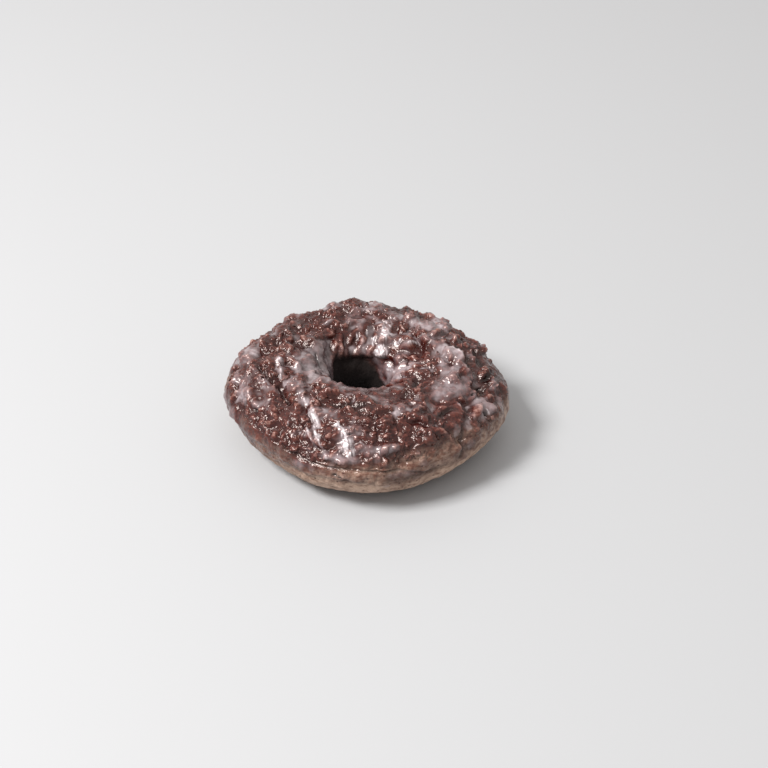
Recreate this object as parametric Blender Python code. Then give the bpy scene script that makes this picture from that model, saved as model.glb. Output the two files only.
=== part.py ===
"""A glazed chocolate cake doughnut: one solid ring with a craggy top, a fluted hole and a flat underside.

Metres, +Z up. The origin is the middle of the doughnut's box, on the surface that it rests on. The ring angle
runs round the hole from +X towards +Y. The tube angle runs round the dough itself: 0 at the outside, 90 on top,
180 in the hole and 270 underneath. The side that the photograph shows faces -Y.
"""

import bpy
import numpy as np

# Ring
OUTER_RADIUS = 0.0434
THROAT_RADIUS = 0.0082
THROAT_SHIFT_X = -0.0025
THROAT_SHIFT_Y = 0.0041
HEIGHT = 0.0250
FRONT_RISE = 0.0006
FRONT_RISE_ANGLE = 290.0
BELLY_SHARE = 0.46  # where the dough is widest, as a share of its height
UNDERCUT = 0.0034  # how far the lower outside draws in
UNDERCUT_POWER = 1.3  # more than 1 keeps the undercut low down
REST_DEPTH = 0.0010  # how much of the round underside is fried flat

# Fullness of the section: 2 is an ellipse, and more is squarer
TOP_OUTSIDE = 2.1
TOP_INSIDE = 1.85
TOP_INSIDE_STEEPER = 0.35
STEEP_SIDE_ANGLE = 200.0
STEEP_SIDE_SPREAD = 60.0
UNDERSIDE_OUTSIDE = 2.5
UNDERSIDE_INSIDE = 3.2

# Bulges and flats of the outline: ring angle and spread in degrees, then how far out
OUTLINE = (
    (176.0, 20.0, 0.0014),
    (92.0, 16.0, 0.0010),
    (2.0, 20.0, 0.0014),
    (270.0, 20.0, 0.0003),
    (48.0, 24.0, -0.0026),
    (222.0, 24.0, -0.0012),
    (312.0, 20.0, -0.0010),
    (135.0, 16.0, -0.0006),
)

# Noise fields: the size of one swell, then the seed of the draw
LOBES = (0.0130, 11)
CRAGS = (0.0068, 21)
CRAG_PULL = (0.0068, 22)
CLODS = (0.0036, 31)
FLUTE_SWING = (0.0100, 41)
LIP_EDGE = (0.0120, 51)
BREAK_EDGE = (0.0090, 61)
CRACK_EDGE = (0.0045, 71)
LATTICE_HALF = 0.054  # half the side of the cube of noise cells round the doughnut
LATTICE_MARGIN = 4  # spare cells, so that each point's neighbours are in the cube

# Crags of the broken crust, and how far each kind stands out
LOBE_HEIGHT = 0.0007
LOBE_KEPT_WHERE_SMOOTH = 0.4
CRAG_HEIGHT = 0.0018
CRAG_FOOT = -0.05  # lump heights below which crags are level ground, and above which they are flat on top
CRAG_SHOULDER = 0.80
CRAG_MIDDLE = 0.5
CLOD_HEIGHT = 0.0011
CLOD_MIDDLE = 0.4
PULL_REACH = 0.0024  # how far noise pulls the crags out of round
LUMP_REACH = 0.62  # how far a lump spreads, as a share of its squared spacing
LUMP_LOWEST = 0.45  # height of the lowest lump, as a share of the highest
LUMP_SQUASH = 2.2  # how much narrower a lump is along its own direction, so that it looks broken and not round

# Where the crust is broken: from the sine and the cosine of the tube angle, ragged by noise
BREAK_RAGGEDNESS = 0.14
TOP_FROM, TOP_FULL = 0.05, 0.55
HOLE_FROM, HOLE_FULL = -0.95, -0.60
SIDE_FROM, SIDE_FULL = -0.75, -0.10
SIDE_CRAGS = 0.30
UNDERSIDE_CRAGS = 0.04

# Cracks: ring and tube angle where each starts and ends, in degrees, then its width and depth
CRACKS = (
    (322.0, 46.0, 12.0, 66.0, 0.0024, 0.0026),
    (296.0, 121.0, 330.0, 103.0, 0.0017, 0.0019),
    (303.0, 66.0, 325.0, 74.0, 0.0020, 0.0021),
    (238.0, 101.0, 268.0, 98.0, 0.0013, 0.0015),
    (150.0, 84.0, 176.0, 60.0, 0.0018, 0.0014),
    (196.0, 92.0, 222.0, 62.0, 0.0017, 0.0014),
    (226.0, 80.0, 259.0, 33.0, 0.0014, 0.0012),
    (252.0, 72.0, 268.0, 30.0, 0.0013, 0.0010),
    (72.0, 100.0, 108.0, 88.0, 0.0016, 0.0012),
    (22.0, 118.0, 56.0, 96.0, 0.0017, 0.0014),
    (312.0, 34.0, 318.0, 2.0, 0.0012, 0.0012),
)
CRACK_RAGGEDNESS = 0.35
CRACK_END_FADE = 1.15  # just over 1, so that a crack's ends taper and are not cut square
TUBE_LENGTHS = 2.3  # how many radians of tube angle make the width of the dough

# The rim on the near side of the hole, which stands up and leans in: ring and tube angle, then their spreads
RIM_AT = (262.0, 121.0)
RIM_SPREAD = (46.0, 27.0)
RIM_HEIGHT = 0.0015

# Flutes down the wall of the hole
FLUTES = 21
FLUTE_HEIGHT = 0.0006
FLUTE_TUBE_ANGLE = 136.0
FLUTE_SPREAD = 28.0
FLUTE_SWAY = 0.4

# The ledge across the far wall of the hole: the dough draws back under it
LEDGE_RING_ANGLE = 84.0
LEDGE_RING_SPREAD = 52.0
LEDGE_TUBE_ANGLE = 149.0
LEDGE_EDGE = 3.5
LEDGE_TUBE_END = 226.0
LEDGE_FADE = 26.0
LEDGE_DEPTH = 0.0016

# The lip where the broken crust ends above the smooth lower side
LIP_TUBE_ANGLE = 1.0
LIP_WAVE = 9.0
LIP_SOFTNESS = 3.5
LIP_HEIGHT = 0.0009

# Mesh rows round the ring and round the dough, closer together on the craggy side, and the triangles kept of them
RING_ROWS = 360
TUBE_ROWS = 130
TOP_CROWDING = 0.26
TRIANGLES_KEPT = 11500
FLAT_WITHIN = 0.00006  # points this near the resting surface are on it

SLOPE_STEP = 1e-4  # radians between the points that give a slope

CRUST_COLOUR = (0.075, 0.030, 0.023, 1.0)
CRUST_ROUGHNESS = 0.38


def wrapped(angle):
    """The angle brought between -pi and pi."""
    return (angle + np.pi) % (2 * np.pi) - np.pi


def swell(angle, at, spread):
    """1 where the angle is at, falling to nothing a few spreads away; at and spread are in degrees."""
    return np.exp(-((wrapped(angle - np.radians(at)) / np.radians(spread)) ** 2))


def ramp(value, low, high):
    """0 below low and 1 above high, smooth between."""
    share = np.clip((value - low) / (high - low), 0.0, 1.0)
    return share * share * (3.0 - 2.0 * share)


def base_form(ring, tube):
    """Points of the uncracked dough at the given ring and tube angles."""
    outside = OUTER_RADIUS + sum(out * swell(ring, at, spread) for at, spread, out in OUTLINE)
    throat = THROAT_RADIUS + THROAT_SHIFT_X * np.cos(ring) + THROAT_SHIFT_Y * np.sin(ring)
    height = HEIGHT + FRONT_RISE * np.cos(ring - np.radians(FRONT_RISE_ANGLE)) + REST_DEPTH
    across, up = np.cos(tube), np.sin(tube)
    top_inside = TOP_INSIDE + TOP_INSIDE_STEEPER * swell(ring, STEEP_SIDE_ANGLE, STEEP_SIDE_SPREAD)
    top = np.where(across > 0, TOP_OUTSIDE, top_inside)
    underside = np.where(across > 0, UNDERSIDE_OUTSIDE, UNDERSIDE_INSIDE)
    fullness = np.where(up < 0, underside, top)
    reach = (np.abs(across) ** fullness + np.abs(up) ** fullness) ** (-1.0 / fullness)
    belly = BELLY_SHARE * height
    radius = (outside + throat) / 2 + (outside - throat) / 2 * reach * across
    radius = radius - UNDERCUT * np.clip(-up, 0, 1) ** UNDERCUT_POWER * np.sqrt(np.clip(across, 0, 1))
    z = belly + np.where(up > 0, height - belly, belly) * reach * up - REST_DEPTH
    return np.stack([radius * np.cos(ring), radius * np.sin(ring), z], axis=-1)


def outward(ring, tube):
    """Unit vectors straight out of the uncracked dough."""
    along_ring = base_form(ring + SLOPE_STEP, tube) - base_form(ring - SLOPE_STEP, tube)
    along_tube = base_form(ring, tube + SLOPE_STEP) - base_form(ring, tube - SLOPE_STEP)
    normal = np.cross(along_ring, along_tube)
    return normal / np.linalg.norm(normal, axis=-1, keepdims=True)


def lattice(size, seed, numbers):
    """Random numbers from 0 to 1 for each cell of a lattice that holds the whole doughnut."""
    cells = int(np.ceil(2 * LATTICE_HALF / size)) + LATTICE_MARGIN
    return np.random.default_rng(seed).random((cells, cells, cells, numbers))


def cells_of(points, size):
    """The lattice cell of each point, and its place in that cell from 0 to 1."""
    place = (points + LATTICE_HALF) / size + 1.0
    cell = np.floor(place).astype(int)
    return cell, place - cell


def soft_noise(points, size, seed, numbers=1):
    """Smooth noise from -1 to 1, with swells of the given size; one value a point, or several."""
    table = lattice(size, seed, numbers)
    cell, share = cells_of(points, size)
    share = share**3 * (share * (share * 6 - 15) + 10)
    total = 0.0
    for corner in np.ndindex(2, 2, 2):
        weight = np.prod(np.where(corner, share, 1 - share), axis=-1)
        x, y, z = np.moveaxis(cell + corner, -1, 0)
        total = total + weight[..., None] * table[x, y, z]
    return 2 * total[..., 0] - 1 if numbers == 1 else 2 * total - 1


def lumps(points, size, seed):
    """Heights from 0 to 1 of broken lumps of about the given size that meet in sharp creases."""
    table = lattice(size, seed, 7)
    cell, share = cells_of(points, size)
    highest = np.zeros(points.shape[:-1])
    for near in np.ndindex(3, 3, 3):
        step = np.array(near) - 1
        x, y, z = np.moveaxis(cell + step, -1, 0)
        place, top, direction = np.split(table[x, y, z], [3, 4], axis=-1)
        offset = step + place - share
        along = (offset * (2 * direction - 1)).sum(axis=-1)
        away = (offset**2).sum(axis=-1) + LUMP_SQUASH * along**2
        crown = LUMP_REACH * (LUMP_LOWEST + (1 - LUMP_LOWEST) * top[..., 0])
        highest = np.maximum(highest, crown - away)
    return highest / LUMP_REACH


def crack_depth(ring, tube, points):
    """How deep the named cracks cut at each point, with their edges made ragged."""
    ragged = CRACK_RAGGEDNESS * soft_noise(points, *CRACK_EDGE)
    depth = np.zeros(ring.shape)
    for ring_a, tube_a, ring_b, tube_b, width, deepest in CRACKS:
        ends = np.radians([[ring_a, tube_a], [ring_b, tube_b]])
        run = np.array([wrapped(ends[1, 0] - ends[0, 0]), ends[1, 1] - ends[0, 1]])
        middle = ends[0] + run / 2
        # Lengths along the dough at the crack's middle, for one radian of each angle
        here = base_form(*middle)
        scale = np.array([np.hypot(here[0], here[1]), (OUTER_RADIUS - THROAT_RADIUS) / TUBE_LENGTHS])
        offset = np.stack([wrapped(ring - ends[0, 0]), wrapped(tube - ends[0, 1])], axis=-1) * scale
        line = run * scale
        share = np.clip((offset @ line) / (line @ line), 0.0, 1.0)
        away = np.linalg.norm(offset - share[..., None] * line, axis=-1) / width
        taper = np.sqrt(np.clip(CRACK_END_FADE - (2 * share - 1) ** 2, 0.0, 1.0))
        depth = np.maximum(depth, deepest * taper * np.exp(-((away + ragged) ** 2)))
    return depth


def brokenness(tube, points):
    """How broken the crust is: 1 on top and 0 where it fried smooth."""
    ragged = tube + BREAK_RAGGEDNESS * soft_noise(points, *BREAK_EDGE)
    across, up = np.cos(ragged), np.sin(ragged)
    top = ramp(up, TOP_FROM, TOP_FULL) * ramp(across, HOLE_FROM, HOLE_FULL)
    side = SIDE_CRAGS * ramp(up, SIDE_FROM, SIDE_FULL)
    return np.maximum(np.maximum(top, side), UNDERSIDE_CRAGS)


def crag_height(points, broken):
    """How far the lobes, crags and clods of the crust stand out."""
    pulled = points + PULL_REACH * soft_noise(points, *CRAG_PULL, 3)
    lobes = LOBE_HEIGHT * soft_noise(points, *LOBES)
    crags = CRAG_HEIGHT * (ramp(lumps(pulled, *CRAGS), CRAG_FOOT, CRAG_SHOULDER) - CRAG_MIDDLE)
    clods = CLOD_HEIGHT * (lumps(pulled, *CLODS) - CLOD_MIDDLE)
    kept = LOBE_KEPT_WHERE_SMOOTH + (1 - LOBE_KEPT_WHERE_SMOOTH) * broken
    return lobes * kept + (crags + clods) * broken


def rim_height(ring, tube):
    """How far the near rim of the hole stands out."""
    return RIM_HEIGHT * swell(ring, RIM_AT[0], RIM_SPREAD[0]) * swell(tube, RIM_AT[1], RIM_SPREAD[1])


def flute_height(ring, tube, points):
    """How far the flutes stand out of the wall of the hole."""
    swung = ring + FLUTE_SWAY * soft_noise(points, *FLUTE_SWING)
    return FLUTE_HEIGHT * swell(tube, FLUTE_TUBE_ANGLE, FLUTE_SPREAD) * np.sin(FLUTES * swung)


def ledge_depth(ring, tube, points):
    """How far the wall of the hole draws back under its ledge."""
    degrees = np.degrees(tube) % 360 + LIP_WAVE * soft_noise(points, *BREAK_EDGE)
    under = ramp(degrees, LEDGE_TUBE_ANGLE - LEDGE_EDGE, LEDGE_TUBE_ANGLE + LEDGE_EDGE)
    above_foot = 1 - ramp(degrees, LEDGE_TUBE_END - LEDGE_FADE, LEDGE_TUBE_END + LEDGE_FADE)
    return LEDGE_DEPTH * swell(ring, LEDGE_RING_ANGLE, LEDGE_RING_SPREAD) * under * above_foot


def lip_height(tube, points):
    """How far the broken crust stands out above the smooth lower side."""
    edge = LIP_TUBE_ANGLE + LIP_WAVE * soft_noise(points, *LIP_EDGE)
    above = ramp(np.degrees(wrapped(tube)), edge - LIP_SOFTNESS, edge + LIP_SOFTNESS)
    return LIP_HEIGHT * above * np.clip(np.cos(tube), 0, 1)


def relief(ring, tube, points):
    """How far the crust stands out from the uncracked dough."""
    crags = crag_height(points, brokenness(tube, points))
    raised = crags + rim_height(ring, tube) + flute_height(ring, tube, points) + lip_height(tube, points)
    return raised - crack_depth(ring, tube, points) - ledge_depth(ring, tube, points)


def tube_angles(count):
    """Tube angles all the way round, crowded towards the craggy top."""
    even = np.arange(count) * 2 * np.pi / count
    return even + TOP_CROWDING * np.cos(even)


def crust_surface(ring_count, tube_count):
    """The finished surface as a grid of points, and the faces between them."""
    ring_angles = np.arange(ring_count) * 2 * np.pi / ring_count
    ring, tube = np.meshgrid(ring_angles, tube_angles(tube_count), indexing="ij")
    points = base_form(ring, tube)
    points = points + relief(ring, tube, points)[..., None] * outward(ring, tube)
    points[..., 2] = np.maximum(points[..., 2], 0.0)
    index = np.arange(ring_count * tube_count).reshape(ring_count, tube_count)
    next_ring, next_tube = np.roll(index, -1, axis=0), np.roll(index, -1, axis=1)
    both = np.roll(next_ring, -1, axis=1)
    faces = np.stack([index, next_ring, both, next_tube], axis=-1).reshape(-1, 4)
    return points.reshape(-1, 3), faces


def centred(points):
    """The points moved so that the middle of their box is over the origin."""
    middle = (points.min(axis=0) + points.max(axis=0)) / 2
    return points - [middle[0], middle[1], 0.0]


def crust_material():
    """Dark cocoa crust under a thin wet glaze."""
    material = bpy.data.materials.new("glazed_cocoa_crust")
    material.use_nodes = True
    shader = material.node_tree.nodes["Principled BSDF"]
    shader.inputs["Base Color"].default_value = CRUST_COLOUR
    shader.inputs["Roughness"].default_value = CRUST_ROUGHNESS
    shader.inputs["Metallic"].default_value = 0.0
    return material


def thin_out(doughnut):
    """Merges the small faces where the crust is smooth, so that the crags keep theirs, and levels the underside."""
    thinning = doughnut.modifiers.new("thin_out", "DECIMATE")
    thinning.ratio = TRIANGLES_KEPT / (2 * len(doughnut.data.polygons))
    thinning.use_collapse_triangulate = True
    doughnut.data = bpy.data.meshes.new_from_object(doughnut.evaluated_get(bpy.context.evaluated_depsgraph_get()))
    doughnut.modifiers.remove(thinning)
    for vertex in doughnut.data.vertices:
        if vertex.co.z < FLAT_WITHIN:
            vertex.co.z = 0.0


def main():
    """Clears the scene and makes the doughnut, one closed solid."""
    for old in list(bpy.data.objects):
        bpy.data.objects.remove(old, do_unlink=True)
    points, faces = crust_surface(RING_ROWS, TUBE_ROWS)
    mesh = bpy.data.meshes.new("doughnut")
    mesh.from_pydata(centred(points).tolist(), [], faces.tolist())
    mesh.materials.append(crust_material())
    mesh.shade_smooth()
    doughnut = bpy.data.objects.new("doughnut", mesh)
    bpy.context.scene.collection.objects.link(doughnut)
    thin_out(doughnut)


main()
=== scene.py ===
"""The looks of a glazed chocolate cake doughnut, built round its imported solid.

Metres, +Z up, in the solid's own frame. The ring angle runs round the hole from +X towards +Y. The tube angle
runs round the dough itself: 0 at the outside, 90 on top, 180 in the hole and 270 underneath. Both are in degrees
where they are written as sizes.
"""

import logging
import math
from dataclasses import dataclass, field
from enum import Enum

import bpy
import numpy as np
from mathutils import Matrix, Vector
from mathutils.bvhtree import BVHTree


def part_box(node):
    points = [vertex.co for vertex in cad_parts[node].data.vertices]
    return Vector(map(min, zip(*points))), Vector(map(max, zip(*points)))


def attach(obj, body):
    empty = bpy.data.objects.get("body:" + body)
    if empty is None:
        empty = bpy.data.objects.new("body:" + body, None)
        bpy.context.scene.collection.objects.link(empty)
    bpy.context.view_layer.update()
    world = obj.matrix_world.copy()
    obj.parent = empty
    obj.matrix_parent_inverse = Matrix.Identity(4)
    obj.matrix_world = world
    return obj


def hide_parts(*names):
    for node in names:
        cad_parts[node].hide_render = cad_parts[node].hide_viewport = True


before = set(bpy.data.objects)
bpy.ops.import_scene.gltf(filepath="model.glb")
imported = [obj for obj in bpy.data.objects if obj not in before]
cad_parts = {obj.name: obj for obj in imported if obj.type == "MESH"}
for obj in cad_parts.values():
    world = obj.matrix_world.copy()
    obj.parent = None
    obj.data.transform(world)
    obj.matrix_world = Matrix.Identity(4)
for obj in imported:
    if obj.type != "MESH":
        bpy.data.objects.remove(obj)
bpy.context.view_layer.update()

log = logging.getLogger("doughnut")
MM = 0.001
NODE = "doughnut"
PIECE_TRIANGLES = 196_000

# Where a ramp or a range begins, and where it is full.
Span = tuple[float, float]


def linear(hex_colour: str) -> tuple[float, float, float, float]:
    """Turns an sRGB colour into the linear one that a shader takes.

    Args:
        hex_colour: The colour, such as "#4a2622".

    Returns:
        Red, green, blue and an alpha of 1.
    """
    channels = [int(hex_colour[at:at + 2], 16) / 255 for at in (1, 3, 5)]
    return (*(c / 12.92 if c <= 0.04045 else ((c + 0.055) / 1.055) ** 2.4 for c in channels), 1.0)


def ramp(value: np.ndarray, low: float, high: float) -> np.ndarray:
    """Rises smoothly from 0 at low to 1 at high.

    Args:
        value: The numbers to read.
        low: Where the result is 0.
        high: Where the result is 1; it may be under low.

    Returns:
        A number from 0 to 1 for each value.
    """
    share = np.clip((value - low) / (high - low), 0.0, 1.0)
    return share * share * (3.0 - 2.0 * share)


def wrapped(degrees: np.ndarray) -> np.ndarray:
    """Brings an angle between -180 and 180 degrees."""
    return (degrees + 180.0) % 360.0 - 180.0


@dataclass(frozen=True)
class Lattice:
    """Seeded random numbers on a lattice round the doughnut, read as smooth noise or as lumps."""

    size: float
    seed: int
    half: float = 54 * MM
    spare_cells: int = 4

    def _read(self, points: np.ndarray, numbers: int) -> tuple[np.ndarray, np.ndarray, np.ndarray]:
        """Draws the table and finds each point in it.

        Args:
            points: Points in metres.
            numbers: How many random numbers a cell holds.

        Returns:
            The table, each point's cell, and its place in the cell from 0 to 1.
        """
        cells = math.ceil(2 * self.half / self.size) + self.spare_cells
        table = np.random.default_rng(self.seed).random((cells, cells, cells, numbers), dtype=np.float32)
        place = (points + self.half) / self.size + 1.0
        cell = np.floor(place).astype(np.int32)
        return table, cell, (place - cell).astype(np.float32)

    def soft(self, points: np.ndarray, numbers: int = 1) -> np.ndarray:
        """Smooth noise.

        Args:
            points: Points in metres.
            numbers: How many values each point gets.

        Returns:
            Values from -1 to 1, with a last axis only where numbers is over 1.
        """
        table, cell, share = self._read(points, numbers)
        share = share**3 * (share * (share * 6 - 15) + 10)
        total = 0.0
        for corner in np.ndindex(2, 2, 2):
            weight = np.prod(np.where(corner, share, 1 - share), axis=-1)
            x, y, z = np.moveaxis(cell + corner, -1, 0)
            total = total + weight[..., None] * table[x, y, z]
        return 2 * total[..., 0] - 1 if numbers == 1 else 2 * total - 1

    def lumps(
        self, points: np.ndarray, squash: float = 1.4, lowest: float = 0.35, reach: float = 0.62
    ) -> np.ndarray:
        """Broken lumps that meet in sharp creases.

        Args:
            points: Points in metres.
            squash: How much narrower each lump is along its own direction.
            lowest: The lowest lump's height, as a share of the highest.
            reach: How far a lump spreads, as a share of its squared spacing.

        Returns:
            Heights from 0 to 1.
        """
        table, cell, share = self._read(points, 7)
        highest = np.zeros(points.shape[:-1], np.float32)
        for near in np.ndindex(3, 3, 3):
            step = np.array(near, np.int32) - 1
            x, y, z = np.moveaxis(cell + step, -1, 0)
            lump = table[x, y, z]
            offset = step + lump[..., :3] - share
            along = (offset * (2 * lump[..., 4:] - 1)).sum(axis=-1)
            crown = reach * (lowest + (1 - lowest) * lump[..., 3])
            highest = np.maximum(highest, crown - (offset**2).sum(axis=-1) - squash * along**2)
        return highest / reach


@dataclass(frozen=True)
class Spot:
    """A round patch of the crust: where it is and how far it spreads, in degrees, and its strength.

    A strength under 0 takes away instead of adding.
    """

    ring: float
    tube: float
    ring_spread: float
    tube_spread: float
    amount: float

    def weight(self, ring: np.ndarray, tube: np.ndarray) -> np.ndarray:
        """Its strength at each pair of angles, in degrees."""
        off_ring = wrapped(ring - self.ring) / self.ring_spread
        off_tube = wrapped(tube - self.tube) / self.tube_spread
        return self.amount * np.exp(-(off_ring**2 + off_tube**2))


@dataclass(frozen=True)
class Stroke:
    """A straight run over the crust between two pairs of angles, with a width in metres and a strength.

    The taper is how much weaker its two ends are, as a share of the squared strength.
    """

    ring_from: float
    tube_from: float
    ring_to: float
    tube_to: float
    width: float
    amount: float
    taper: float = 0.6

    def weight(self, ring: np.ndarray, tube: np.ndarray, radius: np.ndarray, thickness: float) -> np.ndarray:
        """Its strength at each point.

        Args:
            ring: Ring angles in degrees.
            tube: Tube angles in degrees.
            radius: Each point's distance from the hole's axis.
            thickness: Half the dough's width, which turns tube angles into lengths.

        Returns:
            The strength, which fades to nothing beside and past the run.
        """
        run_ring = math.radians(wrapped(self.ring_to - self.ring_from))
        run_tube = math.radians(self.tube_to - self.tube_from) * thickness
        off_ring = np.radians(wrapped(ring - self.ring_from))
        off_tube = np.radians(wrapped(tube - self.tube_from)) * thickness
        dot = off_ring * run_ring * radius**2 + off_tube * run_tube
        share = np.clip(dot / (run_ring**2 * radius**2 + run_tube**2), 0.0, 1.0)
        away = np.hypot((off_ring - share * run_ring) * radius, off_tube - share * run_tube)
        ends = np.sqrt(1.0 - self.taper * (2 * share - 1) ** 2)
        return self.amount * np.exp(-((away / self.width) ** 2)) * ends


def spots(*rows: tuple[float, ...]) -> tuple[Spot, ...]:
    """Makes spots from rows of two angles, two spreads, and a strength in millimetres."""
    return tuple(Spot(*where, amount * MM) for *where, amount in rows)


def strokes(*rows: tuple[float, ...]) -> tuple[Stroke, ...]:
    """Makes strokes from rows of both ends' angles, and a width and a strength in millimetres."""
    return tuple(Stroke(*ends, width * MM, amount * MM) for *ends, width, amount in rows)


@dataclass
class DoughForm:
    """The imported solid's surface, read as a grid of points that runs round the ring and round the dough."""

    ring_rows: int = 1280
    tube_rows: int = 470
    top_crowding: float = 0.26
    belly_share: float = 0.46
    wall_blur_rows: int = 21
    facet_blur: float = 0.35 * MM
    form_blur: float = 2.4 * MM
    girth_share: float = 0.9
    ring: np.ndarray = field(init=False)
    tube: np.ndarray = field(init=False)
    points: np.ndarray = field(init=False)
    normals: np.ndarray = field(init=False)
    radius: np.ndarray = field(init=False)
    half_width: float = field(init=False)

    def __post_init__(self) -> None:
        """Lays out the angles, probes the solid and finds which way is out."""
        even = np.arange(self.tube_rows) * 2 * np.pi / self.tube_rows
        tube = even + self.top_crowding * np.cos(even)
        self.ring, self.tube = np.meshgrid(
            np.arange(self.ring_rows) * 360.0 / self.ring_rows, np.degrees(tube), indexing="ij"
        )
        probed = self._probe()
        self.radius = np.hypot(probed[..., 0], probed[..., 1])
        self.points = self.blur(probed, self.facet_blur)
        self.points[..., 2] = np.maximum(self.points[..., 2], 0.0)
        form = self.blur(probed, self.form_blur)
        along_ring = np.roll(form, -1, axis=0) - np.roll(form, 1, axis=0)
        along_tube = np.roll(form, -1, axis=1) - np.roll(form, 1, axis=1)
        out = np.cross(along_ring, along_tube)
        self.normals = out / np.linalg.norm(out, axis=-1, keepdims=True)

    def _probe(self) -> np.ndarray:
        """Casts a ray at the solid for each pair of angles, from the middle of the dough outwards.

        Returns:
            The points that the rays meet.
        """
        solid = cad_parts[NODE]
        tree = BVHTree.FromObject(solid, bpy.context.evaluated_depsgraph_get())
        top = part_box(NODE)[1].z
        belly = self.belly_share * top
        far = 2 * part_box(NODE)[1].x
        radial = np.stack([np.cos(np.radians(self.ring[:, 0])), np.sin(np.radians(self.ring[:, 0]))], axis=-1)
        walls = np.empty((self.ring_rows, 2))
        for row, (x, y) in enumerate(radial):
            out = Vector((x, y, 0.0))
            walls[row] = [
                tree.ray_cast(Vector((0.0, 0.0, belly)), out)[3],
                far - tree.ray_cast(out * far + Vector((0.0, 0.0, belly)), -out)[3],
            ]
        window = np.ones(self.wall_blur_rows) / self.wall_blur_rows
        padded = np.concatenate([walls[-self.wall_blur_rows:], walls, walls[:self.wall_blur_rows]])
        smooth = np.stack([np.convolve(padded[:, side], window, "same") for side in (0, 1)], axis=-1)
        walls = smooth[self.wall_blur_rows:-self.wall_blur_rows]
        middle, half = walls.mean(axis=1), (walls[:, 1] - walls[:, 0]) / 2
        self.half_width = float(half.mean())
        across = np.cos(np.radians(self.tube[0]))
        up = np.sin(np.radians(self.tube[0]))
        lift = np.where(up > 0, top - belly, belly) * up
        points = np.empty((self.ring_rows, self.tube_rows, 3))
        for row, (x, y) in enumerate(radial):
            start = Vector((x * middle[row], y * middle[row], belly))
            for column in range(self.tube_rows):
                out = half[row] * across[column]
                hit = tree.ray_cast(start, Vector((x * out, y * out, lift[column])))[0]
                points[row, column] = hit if hit is not None else points[row, column - 1]
        return points

    def blur(self, values: np.ndarray, reach: float) -> np.ndarray:
        """Smooths a grid of numbers or points by a real length along the surface.

        Args:
            values: One number or one point for each place on the grid.
            reach: The Gaussian's spread in metres.

        Returns:
            The smoothed grid.
        """
        extra = (1,) * (values.ndim - 2)
        ring_step = 2 * np.pi * self.radius.mean(axis=0) / self.ring_rows
        tube_step = 2 * np.pi * self.girth_share * self.half_width / self.tube_rows
        ring_waves = np.fft.rfftfreq(self.ring_rows)[:, None] * reach / ring_step[None, :]
        tube_waves = np.fft.rfftfreq(self.tube_rows)[None, :] * reach / tube_step
        for axis, rows, waves in ((0, self.ring_rows, ring_waves), (1, self.tube_rows, tube_waves)):
            passed = np.exp(-2 * (np.pi * waves) ** 2).reshape(*waves.shape, *extra)
            values = np.fft.irfft(np.fft.rfft(values, axis=axis) * passed, n=rows, axis=axis)
        return values

    def faces(self) -> np.ndarray:
        """The four corners of each face of the grid, which closes on itself both ways."""
        index = np.arange(self.ring_rows * self.tube_rows).reshape(self.ring_rows, self.tube_rows)
        next_ring, next_tube = np.roll(index, -1, axis=0), np.roll(index, -1, axis=1)
        return np.stack([index, next_ring, np.roll(next_ring, -1, axis=1), next_tube], axis=-1).reshape(-1, 4)


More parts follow.
